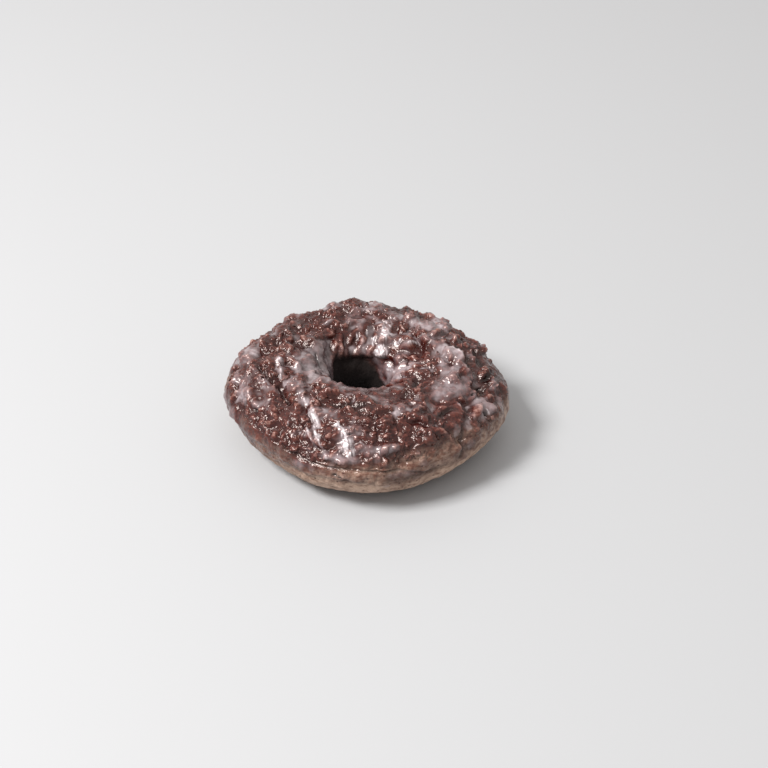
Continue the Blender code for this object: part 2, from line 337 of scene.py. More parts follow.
@dataclass
class GlazedCrust:
    """The broken cocoa crust and the sugar glaze that fills its hollows, as one closed skin.

    A span named up or across is read with the sine or the cosine of the tube angle.
    """

    form: DoughForm

    # Seeded noise and lumps, each with its spacing and its seed.
    ragged: Lattice = Lattice(6.0 * MM, 61)
    pull: Lattice = Lattice(1.7 * MM, 101)
    clusters: Lattice = Lattice(2.7 * MM, 102)
    grains: Lattice = Lattice(1.35 * MM, 103)
    gritty_wide: Lattice = Lattice(7.5 * MM, 104)
    gritty_small: Lattice = Lattice(2.6 * MM, 105)
    wrinkles: Lattice = Lattice(1.3 * MM, 106)
    patches: Lattice = Lattice(7.0 * MM, 107)
    breaks: Lattice = Lattice(1.5 * MM, 108)
    ripples: Lattice = Lattice(2.4 * MM, 109)
    dimples: Lattice = Lattice(1.0 * MM, 110)
    fry_pits: Lattice = Lattice(3.3 * MM, 111)
    flutes: Lattice = Lattice(1.7 * MM, 112)
    beads: Lattice = Lattice(0.7 * MM, 113)

    # The crumb. Its shares are for all crust, for broken crust and for gritty patches.
    pull_reach: float = 0.9 * MM
    cluster_height: float = 0.95 * MM
    grain_height: float = 0.50 * MM
    grain_squash: float = 0.8
    lump_middle: float = 0.35
    crumb_shares: tuple[float, float, float] = (0.10, 0.30, 0.60)
    gritty_small_share: float = 0.4
    gritty_span: Span = (-0.65, 0.0)
    wrinkle_height: float = 0.14 * MM
    wrinkle_stretch: tuple[float, float, float] = (1.0, 1.0, 0.45)
    hole_calm: float = 0.70
    hole_calm_span: Span = (108.0, 130.0)
    pool_calm: float = 0.95
    pool_full: float = 0.4 * MM

    # Where the crust is broken, and where it is the smooth fried side with its small pits.
    ragged_share: float = 0.16
    broken_up: Span = (-0.26, 0.24)
    broken_across: Span = (-1.0, -0.72)
    side_up: Span = (0.22, -0.26)
    side_across: Span = (-0.6, -0.2)
    pit_depth: float = 0.45 * MM
    pit_squash: float = 0.4
    pit_span: Span = (0.84, 0.97)

    # At the front left the broken crust reaches down the side.
    low_crumb: Spot = Spot(211, -12, 30, 26, 0.46)

    # On the front edge of the hole the solid's own lumps are worn down.
    worn_rim: Spot = Spot(272, 132, 40, 17, 0.80)

    # The ribs on the far wall of the hole.
    far_wall: Spot = Spot(78, 130, 34, 30, 1.0)
    flute_middle: float = 72.0
    flute_radius: float = 13 * MM
    flute_slant: float = 3 * MM
    flute_height: float = 0.75 * MM

    # The level that the glaze pools to, and how it rounds off where it meets the crumb.
    level_reach: float = 1.2 * MM
    level_lift: float = -0.34 * MM
    level_wave: float = 0.55 * MM
    level_ripple: float = 0.22 * MM
    furrow_drain: float = 0.5
    pinhole_drain: float = 2.0
    meniscus: float = 0.06 * MM
    meniscus_limit: float = 30.0

    # The thin veil that the glaze leaves over the crumb, and where it is missing.
    veil_thickness: float = 0.31 * MM
    veil_patches: float = 0.6
    veil_ripples: float = 0.4
    veil_poured: float = 0.50 * MM
    veil_span: Span = (-0.40, 0.55)
    furrow_bare: Span = (0.1 * MM, 0.5 * MM)
    groove_bare: Span = (0.25, -0.15)

    # The milky runs, partly painted highlight, how unevenly they lie, and where the glaze ends.
    # On the far wall's rib tops the run is thicker glaze and a painted highlight.
    rib_run_and_highlight: float = 0.35 * MM
    rib_top: Span = (0.26, 0.62)
    run_steady: float = 0.65
    run_broken: float = 0.35
    run_beaded: float = 0.6
    kept_ripple: float = 0.2
    kept_up: Span = (-0.38, 0.12)
    kept_across: Span = (-0.30, -0.60)
    dimple_share: float = 0.20

    # What the finish and the loose crumbs read. A depth named black is fully dark, in painted shade.
    grit_drowned: float = 0.25 * MM
    grit_furrow: Span = (0.5 * MM, 0.2 * MM)
    grit_rim: Span = (136.0, 112.0)
    sandy_calm: float = 0.4
    height_reach: float = 1.1 * MM
    bare_lower: float = 0.40
    bare_full: float = 0.5 * MM
    run_full: float = 0.5 * MM
    furrow_black: float = 1.2 * MM
    pit_dark: float = 0.7
    pinhole_black: float = 0.7 * MM
    lip_black: float = 0.9 * MM
    groove_dark: float = 0.45
    groove_span: Span = (-0.05, -0.6)
    flank_ragged: float = 0.25
    flank_up: Span = (0.30, -0.42)
    flank_across: Span = (-0.5, 0.1)

    # The hole's throat: the tube angle where painted shade turns it black at each ring angle, how softly, and its
    # foot.
    throat_edge: Span = (-9.0, 12.0)
    throat_foot: Span = (262.0, 240.0)
    throat: tuple[tuple[float, float], ...] = (
        (0, 214), (52, 212), (64, 201), (72, 190), (79, 174), (95, 163), (118, 157),
        (128, 152), (134, 151), (140, 159), (144, 169), (148, 182), (170, 195), (360, 200),
    )

    # Pools of glaze, by depth.
    pools: tuple[Spot, ...] = spots(
        (160, 140, 24, 15, 0.48), (165, 162, 26, 18, 0.48), (205, 124, 22, 9, 0.40),
        (20, 156, 24, 16, 0.52), (40, 190, 26, 14, 0.42), (54, 172, 14, 12, 0.40), (6, 139, 14, 8, 0.30),
        (350, 150, 14, 9, 0.26), (14, 89, 6, 5, 0.30), (6, 80, 6, 5, 0.34), (0, 71, 5, 5, 0.30),
        (350, 93, 9, 7, 0.22), (338, 66, 7, 6, 0.22), (2, 98, 6, 4, 0.28), (356, 84, 5, 4, 0.28),
        (188, 111, 6, 6, 0.44), (187, 33, 11, 8, 0.18), (201, 39, 6, 5, 0.14), (206, 37, 4, 5, 0.12),
        (169, 52, 4, 5, 0.40), (181, 91, 3, 4, 0.40), (191, 87, 4, 4, 0.40), (236, 104, 6, 4, 0.28),
        (249, 77, 6, 6, 0.12), (260, 24, 9, 5, 0.36), (283, 36, 7, 5, 0.10), (90, 84, 6, 3, 0.36),
        (88, 100, 5, 5, 0.34), (119, 104, 6, 4, 0.40), (103, 112, 7, 4, 0.22), (50, 84, 6, 5, 0.32),
        (326, 53, 3, 4, 0.44), (326, 78, 7, 5, 0.28), (340, 47, 5, 6, 0.26), (337, 26, 5, 7, 0.40),
        (338, 37, 5, 5, 0.30), (326, 8, 6, 6, 0.20), (346, 15, 3, 8, 0.36), (138, 135, 5, 4, 0.44),
    )

    # Dark crumb that the glaze leaves bare, by how far its level drops.
    bare_crumb: tuple[Spot, ...] = spots(
        (162, 65, 9, 8, -0.50), (186, 68, 6, 5, -0.50), (200, 76, 8, 6, -0.55), (217, 60, 8, 6, -0.50),
        (234, 47, 6, 5, -0.40), (238, 16, 10, 6, -0.40), (150, 118, 5, 4, -0.40), (146, 80, 11, 7, -0.45),
        (128, 68, 12, 8, -0.50), (103, 79, 8, 4, -0.45), (71, 52, 9, 9, -0.50), (128, 145, 4, 6, -0.50),
        (256, 92, 17, 5, -0.60), (258, 65, 4, 4, -0.40), (272, 67, 7, 6, -0.50), (281, 78, 7, 5, -0.45),
        (278, 45, 9, 4, -0.40), (282, 17, 9, 6, -0.35), (300, 57, 8, 6, -0.40), (302, 34, 10, 8, -0.35),
        (302, 95, 10, 6, -0.55), (331, 114, 13, 6, -0.55), (345, 104, 10, 6, -0.45), (316, 55, 8, 4, -0.60),
        (317, 18, 5, 6, -0.45), (358, 48, 10, 6, -0.55), (16, 44, 9, 8, -0.45), (26, 112, 12, 6, -0.40),
        (285, 121, 28, 9, -0.45), (2, 67, 6, 5, -0.30), (12, 71, 6, 4, -0.35), (285, 28, 9, 6, -0.30),
        (296, -4, 14, 6, -0.30), (196, 50, 9, 5, -0.30), (204, 40, 7, 6, -0.30), (196, 16, 14, 10, -0.25),
        (330, 8, 22, 14, -0.30), (18, 77, 6, 5, -0.45), (254, 105, 10, 5, -0.35), (250, 78, 5, 5, -0.15),
    )

    # Where the crust is the side's dull brown, and where it is less so.
    sandy: tuple[Spot, ...] = (
        Spot(306, 16, 22, 13, 0.40),
        Spot(344, 0, 18, 12, 0.45),
        Spot(276, 10, 20, 9, 0.42),
        Spot(210, -14, 30, 24, -0.75),
    )

    # Milky runs of thicker glaze, by height, whose white is partly painted highlight.
    runs: tuple[Stroke, ...] = strokes(
        (224, 82, 236, 67, 0.45, 0.60), (226, 84, 238, 69, 0.40, 0.60), (236, 67, 246, 54, 0.95, 0.65),
        (238, 50, 245, 36, 0.40, 0.50), (241, 53, 247, 40, 0.42, 0.50), (247, 44, 254, 22, 0.60, 0.40),
        (254, 62, 260, 49, 0.95, 0.80), (260, 49, 263, 32, 1.50, 1.05), (267, 48, 269, 43, 0.50, 0.40),
        (181, 93, 183, 88, 0.36, 0.40), (190, 88, 197, 83, 0.40, 0.45), (228, 48, 231, 41, 0.36, 0.40),
        (100, 146, 100, 132, 0.36, 0.45), (91, 138, 90, 122, 0.34, 0.45), (84, 150, 83, 138, 0.40, 0.45),
        (76, 158, 72, 148, 1.00, 0.95), (69, 158, 66, 151, 0.80, 0.85), (70, 140, 68, 126, 0.34, 0.45),
        (56, 140, 55, 126, 0.40, 0.50), (44, 126, 43, 114, 0.55, 0.55), (64, 176, 16, 158, 0.45, 0.35),
        (20, 88, 8, 76, 0.80, 0.30), (332.2, 29, 332.8, 23, 0.34, 0.45), (335.8, 29, 335.4, 23, 0.34, 0.45),
    )

    # Cracks, by depth, painted dark as the shade in them.
    furrows: tuple[Stroke, ...] = strokes(
        (17, 53, 356, 46, 1.30, 1.00), (356, 46, 344, 41, 1.00, 0.80), (338, 119, 304, 99, 1.10, 0.90),
        (243, 91, 268, 92, 0.90, 0.80), (319, 31, 312, -2, 0.80, 0.60), (322, 55, 311, 55, 1.00, 0.90),
        (180, 62, 204, 73, 0.80, 0.70), (205, 74, 222, 62, 0.80, 0.60), (46, 144, 342, 143, 0.40, 0.45),
        (156, 134, 174, 152, 0.50, 0.40),
    )

    # The creases under the lip of the top crust, by depth, painted dark as the shade under it.
    lips: tuple[Stroke, ...] = strokes(
        (232, 18, 248, 11, 0.40, 0.40), (248, 11, 266, 14, 0.40, 0.50), (266, 14, 284, 10, 0.40, 0.50),
        (284, 10, 303, -10, 0.40, 0.36),
    )

    # Small round holes, by depth, painted dark as the shade in them.
    pinholes: tuple[Spot, ...] = spots(
        (334, 26, 1.0, 1.9, 1.0), (262, 53, 0.9, 1.2, 0.9), (348, 47, 0.9, 1.3, 0.8),
        (340, 50, 0.9, 1.3, 0.8), (258, 4, 0.9, 1.6, 0.8), (260, 2, 0.8, 1.2, 0.7),
        (262, -2, 1.2, 1.6, 0.8), (209, 31, 1.4, 2.2, 0.9),
    )
    # Painted shade in the hole, under the lip and at the back of the side; darker crumb patches on top.
    shades: tuple[Spot, ...] = (
        Spot(157, 142, 26, 36, 0.52),
        Spot(285, -4, 30, 7, 0.32),
        Spot(269, 87, 10, 5, 0.32),
        Spot(143, 77, 12, 8, 0.22),
        Spot(90, -20, 75, 40, 0.20),
    )
    fields: dict[str, np.ndarray] = field(init=False, default_factory=dict)

    def _angles(self) -> tuple[np.ndarray, np.ndarray]:
        """The sine and the cosine of the tube angle at each place."""
        tube = np.radians(self.form.tube)
        return np.sin(tube), np.cos(tube)

    def _spots(self, *spots: Spot) -> np.ndarray:
        """The strength of the spots together at each place."""
        return sum(spot.weight(self.form.ring, self.form.tube) for spot in spots)

    def _strokes(self, *strokes: Stroke) -> np.ndarray:
        """The strength of the strokes together at each place."""
        form = self.form
        return sum(stroke.weight(form.ring, form.tube, form.radius, form.half_width) for stroke in strokes)

    def _broken(self) -> np.ndarray:
        """How broken the crust is: 1 on top and 0 on the smooth lower side and underneath."""
        up, across = self._angles()
        ragged = self.ragged_share * self.ragged.soft(self.form.points)
        top = ramp(up + ragged + self._spots(self.low_crumb), *self.broken_up)
        return top * ramp(across + ragged, *self.broken_across)

    def _out_of_the_hole(self) -> np.ndarray:
        """1 where light and glaze get in, and 0 down in the throat of the hole."""
        tube = self.form.tube
        start = np.interp(self.form.ring, *zip(*self.throat))
        before, after = self.throat_edge
        return 1.0 - ramp(tube, start + before, start + after) * ramp(tube, *self.throat_foot)

    def _crumb(self, broken: np.ndarray) -> tuple[np.ndarray, np.ndarray]:
        """The height of the crumb's clusters, grains and wrinkles.

        Args:
            broken: How broken the crust is at each place.

        Returns:
            The heights in metres, and how gritty the crumb is from 0 to 1.
        """
        points = self.form.points
        pulled = points + self.pull_reach * self.pull.soft(points, 3)
        clusters = self.clusters.lumps(pulled) - self.lump_middle
        grains = self.grains.lumps(pulled, squash=self.grain_squash) - self.lump_middle
        patch = self.gritty_wide.soft(points) + self.gritty_small_share * self.gritty_small.soft(points)
        grit = ramp(patch, *self.gritty_span) * broken
        wrinkle = self.wrinkle_height * self.wrinkles.soft(points * self.wrinkle_stretch)
        coarse = self.cluster_height * clusters + self.grain_height * grains
        for_all, for_broken, for_gritty = self.crumb_shares
        calm = 1.0 - self.hole_calm * ramp(self.form.tube, *self.hole_calm_span)
        return coarse * (for_all + for_broken * broken + for_gritty * grit) * calm + wrinkle, grit

    def _flutes(self) -> tuple[np.ndarray, np.ndarray]:
        """Narrow ribs that run down the far wall of the hole.

        Returns:
            Where the far wall is, from 0 to 1, and its relief, from -1 in the grooves to 1 on the ribs.
        """
        tube = self.form.tube
        across = np.radians(wrapped(self.form.ring - self.flute_middle)) * self.flute_radius
        flat = np.stack([across, np.radians(tube) * self.flute_slant, np.zeros_like(tube)], axis=-1)
        return self._spots(self.far_wall), self.flutes.soft(flat)

    def shape(self) -> np.ndarray:
        """Works out the crumb, the glaze over it and what the finish needs to know of both.

        Returns:
            The finished surface's points.
        """
        form = self.form
        up, across = self._angles()
        out_of_hole = self._out_of_the_hole()

        # The dough is the solid's own lumps, the crumb on them and what is cut into it.
        pooled = np.clip(self._spots(*self.pools) / self.pool_full, 0.0, 1.0)
        crumb, grit = self._crumb(self._broken() * (1.0 - self.pool_calm * pooled))
        side = ramp(up + self._spots(self.low_crumb), *self.side_up) * ramp(across, *self.side_across)
        pits = self.fry_pits.lumps(form.points, squash=self.pit_squash, lowest=0.0)
        pits = ramp(pits, *self.pit_span) * side
        furrow, lip = self._strokes(*self.furrows), self._strokes(*self.lips)
        pinhole = self._spots(*self.pinholes)
        far_wall, rib = self._flutes()
        crumb = crumb + self.flute_height * far_wall * rib - furrow - lip - self.pit_depth * pits - pinhole
        base = form.blur(form.points, form.form_blur)
        lump = ((form.points - base) * form.normals).sum(axis=-1)
        crumb = crumb - self._spots(self.worn_rim) * lump
        dough = lump + crumb

        # The glaze pools to a wavy level, leaves a thin veil over the rest, and lies thicker in its runs.
        patchy, ripple = self.patches.soft(form.points), self.ripples.soft(form.points)
        poured = self._spots(*self.pools, *self.bare_crumb)
        wave = self.level_wave * patchy + self.level_ripple * ripple
        level = form.blur(dough, self.level_reach) + self.level_lift + wave + poured
        level = level - self.furrow_drain * furrow - self.pinhole_drain * pinhole
        over = np.clip((level - dough) / self.meniscus, -self.meniscus_limit, self.meniscus_limit)
        film = self.meniscus * np.log1p(np.exp(over))
        veil = self.veil_patches * patchy + self.veil_ripples * ripple + poured / self.veil_poured
        veil = ramp(veil, *self.veil_span) * (1.0 - ramp(furrow, *self.furrow_bare))
        veil = veil * (1.0 - far_wall * ramp(rib, *self.groove_bare))
        veil = self.veil_thickness * veil * (1.0 + pooled)
        # The far wall's rib tops get a run too, which the finish paints white as their highlight.
        run = self._strokes(*self.runs) + self.rib_run_and_highlight * far_wall * ramp(rib, *self.rib_top)
        breaks = self.run_broken * self.breaks.soft(form.points)
        run = run * (self.run_steady + breaks + self.run_broken * ripple)
        run = run * (1.0 + self.run_beaded * self.beads.soft(form.points))
        kept = ramp(up + self.kept_ripple * ripple, *self.kept_up)
        kept = np.maximum(kept, ramp(across, *self.kept_across))
        film = ((film + veil) * kept + run) * out_of_hole
        film = film * (1.0 + self.dimple_share * self.dimples.soft(form.points))
        points = form.points + (crumb + film)[..., None] * form.normals
        points[..., 2] = np.maximum(points[..., 2], 0.0)

        # What the finish and the loose crumbs read at each point.
        sandy = self._spots(*self.sandy)
        grit = grit * np.exp(-film / self.grit_drowned) * ramp(furrow, *self.grit_furrow)
        grit = grit * (1.0 - self.sandy_calm * np.maximum(sandy, 0.0)) * ramp(form.tube, *self.grit_rim)
        # The height, which the finish paints as light on the crumb's tops and shade in its hollows; bare crumb
        # reads lower.
        height = (dough - form.blur(dough, self.height_reach)) / MM
        height = height + self.bare_lower * np.clip(poured / self.bare_full, -1.0, 0.0)
        # Painted shade in the cracks, pits, small holes, creases under the lip and grooves between the far wall's
        # ribs.
        dark = furrow / self.furrow_black + self.pit_dark * pits + pinhole / self.pinhole_black
        dark = dark + lip / self.lip_black + self.groove_dark * far_wall * ramp(rib, *self.groove_span)
        flank = ramp(up + self.flank_ragged * patchy, *self.flank_up) * ramp(across, *self.flank_across)
        self.fields = {
            "glaze": film / MM,
            "grit": grit,
            "height": height,
            "run": run / self.run_full,
            "dark": np.clip(dark + self._spots(*self.shades), 0.0, 1.0),
            "side": side,
            "flank": np.clip(flank + sandy, 0.0, 1.0),
            "deep": 1.0 - out_of_hole,
        }
        return points

    def build(self) -> bpy.types.Object:
        """Makes the skin as a mesh and thins it where it is smooth.

        Returns:
            The crust's object.
        """
        points = self.shape()
        mesh = bpy.data.meshes.new("glazed_crust")
        mesh.from_pydata(points.reshape(-1, 3).tolist(), [], self.form.faces().tolist())
        for name, values in self.fields.items():
            attribute = mesh.attributes.new(name, "FLOAT", "POINT")
            attribute.data.foreach_set("value", values.astype(np.float32).ravel())
        crust = bpy.data.objects.new("glazed_crust", mesh)
        bpy.context.scene.collection.objects.link(crust)
        thinning = crust.modifiers.new("thin_out", "DECIMATE")
        thinning.ratio = PIECE_TRIANGLES / (2 * len(mesh.polygons))
        graph = bpy.context.evaluated_depsgraph_get()
        crust.data = bpy.data.meshes.new_from_object(crust.evaluated_get(graph))
        crust.modifiers.remove(thinning)
        crust.data.shade_smooth()
        return crust


# A node's inputs by name or number, or all of the first ones in order.
Inputs = dict[int | str, object] | tuple[object, ...]


class Tree:
    """A node tree, with one way to add a node with its settings and links."""

    def __init__(self, tree: bpy.types.NodeTree) -> None:
        """Keeps the tree that the nodes go into."""
        self.tree = tree

    def fill(self, node: bpy.types.Node, inputs: Inputs) -> None:
        """Sets or links a node's inputs.

        Args:
            node: The node to fill.
            inputs: What each input holds: a value, or another node's output.
        """
        for name, value in inputs.items() if isinstance(inputs, dict) else enumerate(inputs):
            if isinstance(value, bpy.types.NodeSocket):
                self.tree.links.new(value, node.inputs[name])
            else:
                node.inputs[name].default_value = value

    def add(self, kind: str, inputs: Inputs, output: int | str = 0, **settings: object) -> bpy.types.NodeSocket:
        """Adds a node.

        Args:
            kind: The node's type, such as "ShaderNodeMath".
            inputs: What each input holds: a value, or another node's output.
            output: Which of its outputs to hand back.
            **settings: The node's own settings.

        Returns:
            The output socket that was asked for.
        """
        node = self.tree.nodes.new(kind)
        for name, value in settings.items():
            setattr(node, name, value)
        self.fill(node, inputs)
        return node.outputs[output]


def new_finish(name: str) -> tuple[bpy.types.Material, Tree, bpy.types.Node]:
    """Starts a material.

    Args:
        name: The material's name.

    Returns:
        The material, its tree and its Principled shader.
    """
    material = bpy.data.materials.new(name)
    material.use_nodes = True
    return material, Tree(material.node_tree), material.node_tree.nodes["Principled BSDF"]


# A thin wet glaze over crumb. Its specular level is low and its tint warm, because broken crumb mirrors less than
# a smooth surface does.
WET_ROUGHNESS = 0.19
WET_SURFACE = {
    "Specular IOR Level": 0.42,
    "Specular Tint": (1.0, 0.88, 0.85, 1.0),
    "Coat Roughness": 0.20,
}


@dataclass(frozen=True)
class GlazedCocoaCrust:
    """Fried cocoa cake dough under a poured sugar glaze.

    The glaze wets the whole top, so the crumb glints. Its colour is painted nearly black in its creases and
    reddish brown on its tops, as shade and light. Where the glaze is thicker it is a clouded syrup that greys the
    hollows, and its runs are milky, partly as a painted highlight. The low side has no glaze, so it is dull and
    greyish brown, with small pits from the frying fat that are painted dark as shade.
    """

    # The crease colour is painted shade in the crumb's hollows and in the side's pits.
    crease_shade: str = "#280604"
    crumb: str = "#52251d"
    # The light crumb colour is painted light on the crumb's tops, over its own mottle.
    crumb_lit: str = "#84645c"
    side: str = "#b59c8b"
    side_dark: str = "#694c3e"
    # The near black of painted shade in the dark marks and the throat of the hole.
    shade_black: str = "#050101"
    glaze: str = "#aba0a5"
    # The milk is thick glaze's white and partly a painted highlight on the runs and the far wall's ribs.
    milk_and_highlight: str = "#e9e4e8"

    # Pattern sizes. Real pores and sugar grains are finer than a pixel, which shows about 0.3 mm, so the ones here
    # are drawn as coarse as they need to be to show.
    mottle_size: float = 0.95 * MM
    patch_size: float = 8.0 * MM
    smear_size: float = 2.2 * MM
    streak_size: float = 0.75 * MM
    pore_size: float = 0.55 * MM
    grain_size: float = 0.85 * MM
    pit_size: float = 1.9 * MM
    smear_flatness: tuple[float, float, float] = (1.0, 1.0, 1.7)
    streak_across: tuple[float, float, float] = (0.90, 0.43, 0.0)
    streak_along: tuple[float, float, float] = (0.06, -0.13, 0.0)

    # The crumb's tone, and what the mottle, the grains and the height add to it.
    # The grains' dark edges and the height are painted shade and light; the mottle is the crumb's own tone.
    tone_base: float = -0.55
    tone_gains: tuple[float, float, float] = (2.1, -0.45, 1.25)
    light_tone: Span = (0.7, 1.5)

    # The side's stains, and its pits, painted dark as shade.
    stain_side: float = 0.14
    stain: Span = (0.42, 0.72)
    pit: Span = (0.10, 0.24)
    pit_dark: float = 0.85

    # How much the glaze hides, from thin to thick, and how milky its runs are.
    film: Span = (0.10, 0.78)
    film_power: float = 0.8
    cover_patches: Span = (0.35, 0.65)
    cover: Span = (0.48, 0.68)
    smear: Span = (0.3, 0.6)
    smear_least: float = 0.45
    streak: Span = (0.40, 0.60)
    streak_share: Span = (0.10, 1.20)
    run: Span = (0.10, 1.00)
    run_most: float = 0.66

    # The shine, and the strength and depth of the bumps.
    crumb_shine: float = 0.12
    film_shine: float = 0.75
    side_shine: float = 0.04
    side_roughness: float = 0.85
    relief_grains: float = -0.8
    relief: tuple[float, float] = (0.6, 0.25 * MM)
    wrinkles: tuple[float, float] = (0.5, 0.30 * MM)

    def build(self) -> bpy.types.Material:
        """Makes the material.

        Returns:
            The finished material.
        """
        material, tree, shader = new_finish("glazed_cocoa_crust")
        place = tree.add("ShaderNodeTexCoord", {}, "Object")
        held = {
            name: tree.add("ShaderNodeAttribute", {}, "Fac", attribute_name=name)
            for name in ("glaze", "height", "run", "dark", "side", "flank", "deep")
        }
        flat = tree.add("ShaderNodeVectorMath", (place, self.smear_flatness), operation="MULTIPLY")
        mottle, patch, pores, smear = (
            tree.add("ShaderNodeTexNoise", {"Vector": at, "Scale": 1 / size, "Detail": detail, "Roughness": rough})
            for at, size, detail, rough in (
                (place, self.mottle_size, 4.0, 0.5),
                (place, self.patch_size, 2.0, 0.5),
                (place, self.pore_size, 2.0, 0.5),
                (flat, self.smear_size, 5.0, 0.62),
            )
        )
        grains, pits = (
            tree.add("ShaderNodeTexVoronoi", {"Vector": place, "Scale": 1 / size}, "Distance")
            for size in (self.grain_size, self.pit_size)
        )

        # Painted light on the crumb's tops and shade in its hollows; the side is stained, its pits painted dark.
        tone = self.tone_base
        for value, gain in zip((mottle, grains, held["height"]), self.tone_gains):
            tone = tree.add("ShaderNodeMath", (value, gain, tone), operation="MULTIPLY_ADD")
        lit = tree.add("ShaderNodeMapRange", (tone, *self.light_tone))
        low = tree.add("ShaderNodeMath", (held["side"], self.stain_side, smear), operation="MULTIPLY_ADD")
        stain = tree.add("ShaderNodeMapRange", (low, *self.stain))
        pits = tree.add("ShaderNodeMapRange", (pits, *self.pit, self.pit_dark, 0.0))

        # The glaze hides more where it is thick and less where it is smeared thin.
        most = tree.add("ShaderNodeMapRange", (patch, *self.cover_patches, *self.cover))
        film = tree.add("ShaderNodeMapRange", (held["glaze"], *self.film))
        film = tree.add("ShaderNodeMath", (film, self.film_power), operation="POWER")
        smeared = tree.add("ShaderNodeMapRange", (smear, *self.smear, self.smear_least, 1.0))
        film = tree.add("ShaderNodeMath", (film, smeared), operation="MULTIPLY")
        cover = tree.add("ShaderNodeMath", (film, most), operation="MULTIPLY")

        # The runs are streaked along the way that they flowed, and their milky white is partly painted highlight.
        across, along = (
            tree.add("ShaderNodeVectorMath", (place, way), "Value", operation="DOT_PRODUCT")
            for way in (self.streak_across, self.streak_along)
        )
        drawn = tree.add("ShaderNodeCombineXYZ", (across, along))
        streak = tree.add("ShaderNodeTexNoise", {"Vector": drawn, "Scale": 1 / self.streak_size, "Detail": 2.0})
        streak = tree.add("ShaderNodeMapRange", (streak, *self.streak, *self.streak_share))
        run = tree.add("ShaderNodeMath", (held["run"], streak), operation="MULTIPLY")
        milk_and_highlight = tree.add("ShaderNodeMapRange", (run, *self.run, 0.0, self.run_most))
        # The throat of the hole joins the dark marks, painted black as shade, and the side as dry.
        dark, dry = (
            tree.add("ShaderNodeMath", (held[name], held["deep"]), operation="MAXIMUM")
            for name in ("dark", "side")
        )

        # Each layer covers a share of what is under it.
        side, colour = linear(self.side_dark), linear(self.crease_shade)
        for share, over in ((stain, linear(self.side)), (pits, linear(self.crease_shade))):
            side = tree.add("ShaderNodeMix", {0: share, 6: side, 7: over}, 2, data_type="RGBA")
        for share, over in (
            (tone, linear(self.crumb)),
            (lit, linear(self.crumb_lit)),
            (held["flank"], side),
            (cover, linear(self.glaze)),
            (milk_and_highlight, linear(self.milk_and_highlight)),
            # The last layer is painted shade, near black in the dark marks and the throat of the hole.
            (dark, linear(self.shade_black)),
        ):
            colour = tree.add("ShaderNodeMix", {0: share, 6: colour, 7: over}, 2, data_type="RGBA")

        # The glaze shines, the side and the throat are dry, and the bumps fade where the glaze is thick.
        wet = tree.add("ShaderNodeMapRange", {0: film, 3: self.crumb_shine, 4: self.film_shine})
        wet = tree.add("ShaderNodeMapRange", {0: dry, 3: wet, 4: self.side_shine})
        rough = tree.add("ShaderNodeMapRange", {0: dry, 3: WET_ROUGHNESS, 4: self.side_roughness})
        thin = tree.add("ShaderNodeMath", (1.0, film), operation="SUBTRACT")
        bare = tree.add("ShaderNodeMath", (thin, held["side"]), operation="MAXIMUM")
        relief = tree.add("ShaderNodeMath", (grains, self.relief_grains, pores), operation="MULTIPLY_ADD")
        relief, wrinkles = (
            tree.add("ShaderNodeMath", (raised, bare), operation="MULTIPLY") for raised in (relief, mottle)
        )
        bump, wet_bump = (
            tree.add("ShaderNodeBump", {"Height": raised, "Strength": strength, "Distance": depth}, "Normal")
            for raised, strength, depth in ((relief, *self.relief), (wrinkles, *self.wrinkles))
        )
        tree.fill(shader, {
            "Base Color": colour,
            "Roughness": rough,
            "Normal": bump,
            "Coat Weight": wet,
            "Coat Normal": wet_bump,
            **WET_SURFACE,
        })
        return material


@dataclass(frozen=True)
class WetCrumb:
    """Loose cocoa crumb wetted by the glaze: dark, and shiny in small highlights.

    The mottle stands for pores finer than a pixel, so it is drawn as coarse as it needs to be to show.
    """

    dark: str = "#260a07"
    light: str = "#4f2a22"
    milky: str = "#6e514a"
    milky_share: float = 0.15
    light_tone: Span = (0.05, 0.55)
    mottle_size: float = 0.6 * MM
    relief_depth: float = 0.25 * MM
    relief_strength: float = 0.6
    shine: float = 0.12

    def build(self) -> bpy.types.Material:
        """Makes the material.

        Returns:
            The finished material.
        """
        material, tree, shader = new_finish("wet_cocoa_crumb")
        place = tree.add("ShaderNodeTexCoord", {}, "Object")
        tone = tree.add("ShaderNodeAttribute", {}, "Fac", attribute_name="tone")
        mottle = tree.add("ShaderNodeTexNoise", {"Vector": place, "Scale": 1 / self.mottle_size, "Detail": 2.0})
        mixed = tree.add("ShaderNodeMath", (mottle, tone), operation="MULTIPLY")
        share = tree.add("ShaderNodeMapRange", (mixed, *self.light_tone))
        milky = tree.add("ShaderNodeMapRange", (tone, 1.0 - self.milky_share, 1.0))
        colour = linear(self.dark)
        for over_share, over in ((share, self.light), (milky, self.milky)):
            colour = tree.add("ShaderNodeMix", {0: over_share, 6: colour, 7: linear(over)}, 2, data_type="RGBA")
        relief = {"Strength": self.relief_strength, "Distance": self.relief_depth, "Height": mottle}
        bump = tree.add("ShaderNodeBump", relief, "Normal")
        tree.fill(shader, {
            "Base Color": colour,
            "Roughness": WET_ROUGHNESS,
            "Normal": bump,
            "Coat Weight": self.shine,
            **WET_SURFACE,
        })
        return material


class CrumbKind(Enum):
    """The two sizes of loose crumb: name, smallest and largest size, crumbs per square millimetre, and seed."""

    COARSE = ("coarse_crumbs", 1.6 * MM, 2.6 * MM, 0.08, 3)
    FINE = ("fine_crumbs", 0.9 * MM, 1.6 * MM, 0.18, 5)


